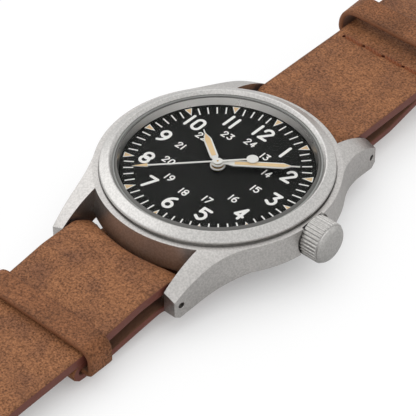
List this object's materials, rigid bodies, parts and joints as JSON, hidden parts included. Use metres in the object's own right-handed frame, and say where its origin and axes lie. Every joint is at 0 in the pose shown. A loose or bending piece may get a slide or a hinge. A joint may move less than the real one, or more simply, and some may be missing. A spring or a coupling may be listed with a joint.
{
  "type": "field wristwatch",
  "caption": "Hand-wound field wristwatch with a round lugged steel case, domed crystal, black dial with plain numerals and a one-piece leather strap with an under strap.",
  "frame": {"origin": "on the surface the strap rests on, under the centre of the case, on the under strap's lower face", "axes": "+Z out of the dial, +Y to 12 o'clock and the buckle, +X to the crown"},
  "size_m": [0.0412, 0.2342, 0.0124],
  "materials": {
    "case_steel": "bead-blasted",
    "bezel_steel": "circular brushed",
    "crown_steel": "satin",
    "movement_steel": "rhodium plated, satin",
    "pivot_steel": "polished",
    "blue_steel": "blued",
    "movement_brass": "satin",
    "crystal_glass": "clear",
    "seal_rubber": "matt",
    "spacer_plastic": "matt",
    "dial_black": "matt black",
    "print_white": "printed",
    "lume_tan": "luminous paint",
    "hand_white": "matt white",
    "ruby": "polished ruby",
    "strap_leather": "oiled, mottled",
    "keeper_leather": "oiled",
    "thread": "waxed"
  },
  "bodies": {
    "case": {"mid_case": "case_steel", "bezel": "bezel_steel", "crystal": "crystal_glass", "crystal_gasket": "seal_rubber", "flange_ring": "case_steel", "case_back": "case_steel", "case_back_gasket": "seal_rubber", "crown_tube": "crown_steel", "movement_ring": "spacer_plastic", "spring_bars": "pivot_steel", "dial": "dial_black", "dial_print": "print_white", "dial_lume": "lume_tan", "main_plate": "movement_steel", "barrel_bridge": "movement_steel", "train_bridge": "movement_steel", "balance_cock": "movement_steel", "pallet_bridge": "movement_steel", "click": "pivot_steel", "setting_lever": "pivot_steel", "movement_screws": "blue_steel", "jewels": "ruby", "strap": "strap_leather", "under_strap": "strap_leather", "end_keeper": "keeper_leather", "fixed_keeper": "keeper_leather", "stitching": "thread", "buckle_bar": "pivot_steel"},
    "minute_group": {"centre_wheel": "movement_brass", "cannon_pinion": "movement_brass", "minute_hand": "hand_white", "minute_hand_lume": "lume_tan"},
    "hour_group": {"hour_wheel": "movement_brass", "hour_hand": "hand_white", "hour_hand_lume": "lume_tan"},
    "seconds_group": {"fourth_wheel": "movement_brass", "seconds_hand": "hand_white", "seconds_hand_lume": "lume_tan"},
    "third": {"third_wheel": "movement_brass"},
    "escape": {"escape_wheel": "pivot_steel"},
    "barrel": {"mainspring_barrel": "movement_brass", "mainspring": "pivot_steel"},
    "minute_wheel_group": {"minute_wheel": "movement_brass"},
    "ratchet": {"ratchet_wheel": "movement_steel", "barrel_arbor": "pivot_steel"},
    "crown_wheel_group": {"crown_wheel": "movement_steel"},
    "winding": {"winding_pinion": "pivot_steel"},
    "sliding": {"sliding_pinion": "pivot_steel"},
    "crown_slider": {"crown_gasket": "seal_rubber"},
    "crown_group": {"crown": "crown_steel", "winding_stem": "pivot_steel"},
    "pallet": {"pallet_fork": "pivot_steel"},
    "balance": {"balance_wheel": "movement_brass", "hairspring": "blue_steel"},
    "pin_12_right": {"bar_pin_12_right": "pivot_steel"},
    "pin_12_left": {"bar_pin_12_left": "pivot_steel"},
    "pin_6_right": {"bar_pin_6_right": "pivot_steel"},
    "pin_6_left": {"bar_pin_6_left": "pivot_steel"},
    "buckle": {"buckle_frame": "crown_steel"},
    "tongue": {"buckle_tongue": "crown_steel"}
  },
  "joints": [
    {"name": "minute_turn", "type": "hinge", "parent": "case", "child": "minute_group", "pos_m": [0, 0, 0], "axis": [0, 0, -1], "continuous": true},
    {"name": "hour_turn", "type": "hinge", "parent": "case", "child": "hour_group", "pos_m": [0, 0, 0], "axis": [0, 0, -1], "continuous": true},
    {"name": "seconds_turn", "type": "hinge", "parent": "case", "child": "seconds_group", "pos_m": [0, 0, 0], "axis": [0, 0, -1], "continuous": true},
    {"name": "third_turn", "type": "hinge", "parent": "case", "child": "third", "pos_m": [-0.00381, -0.00139, 0], "axis": [0, 0, -1], "continuous": true},
    {"name": "escape_turn", "type": "hinge", "parent": "case", "child": "escape", "pos_m": [0.00182, -0.00315, 0], "axis": [0, 0, -1], "continuous": true},
    {"name": "barrel_turn", "type": "hinge", "parent": "case", "child": "barrel", "pos_m": [0.00312, 0.00541, 0], "axis": [0, 0, -1], "continuous": true},
    {"name": "minute_wheel_turn", "type": "hinge", "parent": "case", "child": "minute_wheel_group", "pos_m": [-0.0013, 0.00225, 0], "axis": [0, 0, -1], "continuous": true},
    {"name": "crown_pull", "type": "slide", "parent": "case", "child": "crown_slider", "axis": [1, 0, 0], "range_m": [0, 0.0009]},
    {"name": "crown_turn", "type": "hinge", "parent": "crown_slider", "child": "crown_group", "pos_m": [0, 0, 0.0081], "axis": [1, 0, 0], "continuous": true},
    {"name": "winding_turn", "type": "hinge", "parent": "case", "child": "winding", "pos_m": [0, 0, 0.0081], "axis": [1, 0, 0], "continuous": true},
    {"name": "sliding_turn", "type": "hinge", "parent": "case", "child": "sliding", "pos_m": [0, 0, 0.0081], "axis": [1, 0, 0], "continuous": true},
    {"name": "crown_wheel_turn", "type": "hinge", "parent": "case", "child": "crown_wheel_group", "pos_m": [0.00876, 0.0024, 0], "axis": [0, 0, -1], "continuous": true},
    {"name": "ratchet_turn", "type": "hinge", "parent": "case", "child": "ratchet", "pos_m": [0.00312, 0.00541, 0], "axis": [0, 0, -1], "continuous": true},
    {"name": "pallet_rock", "type": "hinge", "parent": "case", "child": "pallet", "pos_m": [0.00389, -0.00455, 0], "axis": [0, 0, -1], "range_deg": [-4.5, 4.5]},
    {"name": "balance_swing", "type": "hinge", "parent": "case", "child": "balance", "pos_m": [0.0059, -0.0059, 0], "axis": [0, 0, -1], "range_deg": [-270, 270], "stiffness_Nm_per_rad": 0.000001},
    {"name": "pin_12_right_slide", "type": "slide", "parent": "case", "child": "pin_12_right", "axis": [-1, 0, 0], "range_m": [0, 0.0008], "stiffness_N_per_m": 300, "springref_m": -0.001},
    {"name": "pin_12_left_slide", "type": "slide", "parent": "case", "child": "pin_12_left", "axis": [1, 0, 0], "range_m": [0, 0.0008], "stiffness_N_per_m": 300, "springref_m": -0.001},
    {"name": "pin_6_right_slide", "type": "slide", "parent": "case", "child": "pin_6_right", "axis": [-1, 0, 0], "range_m": [0, 0.0008], "stiffness_N_per_m": 300, "springref_m": -0.001},
    {"name": "pin_6_left_slide", "type": "slide", "parent": "case", "child": "pin_6_left", "axis": [1, 0, 0], "range_m": [0, 0.0008], "stiffness_N_per_m": 300, "springref_m": -0.001},
    {"name": "buckle_swing", "type": "hinge", "parent": "case", "child": "buckle", "pos_m": [0, 0.081, 0.0024], "axis": [1, 0, 0], "range_deg": [0, 60]},
    {"name": "tongue_swing", "type": "hinge", "parent": "buckle", "child": "tongue", "pos_m": [0, 0.081, 0.0024], "axis": [1, 0, 0], "range_deg": [0, 75]}
  ],
  "couplings": [
    {"joint": "hour_turn", "follows": "minute_turn", "ratio": 0.083333},
    {"joint": "seconds_turn", "follows": "minute_turn", "ratio": 60},
    {"joint": "third_turn", "follows": "minute_turn", "ratio": -8},
    {"joint": "escape_turn", "follows": "minute_turn", "ratio": -720},
    {"joint": "barrel_turn", "follows": "minute_turn", "ratio": -0.14286},
    {"joint": "minute_wheel_turn", "follows": "minute_turn", "ratio": -0.33333},
    {"joint": "winding_turn", "follows": "crown_turn", "ratio": 1},
    {"joint": "sliding_turn", "follows": "crown_turn", "ratio": 1},
    {"joint": "crown_wheel_turn", "follows": "crown_turn", "ratio": 0.5},
    {"joint": "ratchet_turn", "follows": "crown_turn", "ratio": -0.3}
  ]
}
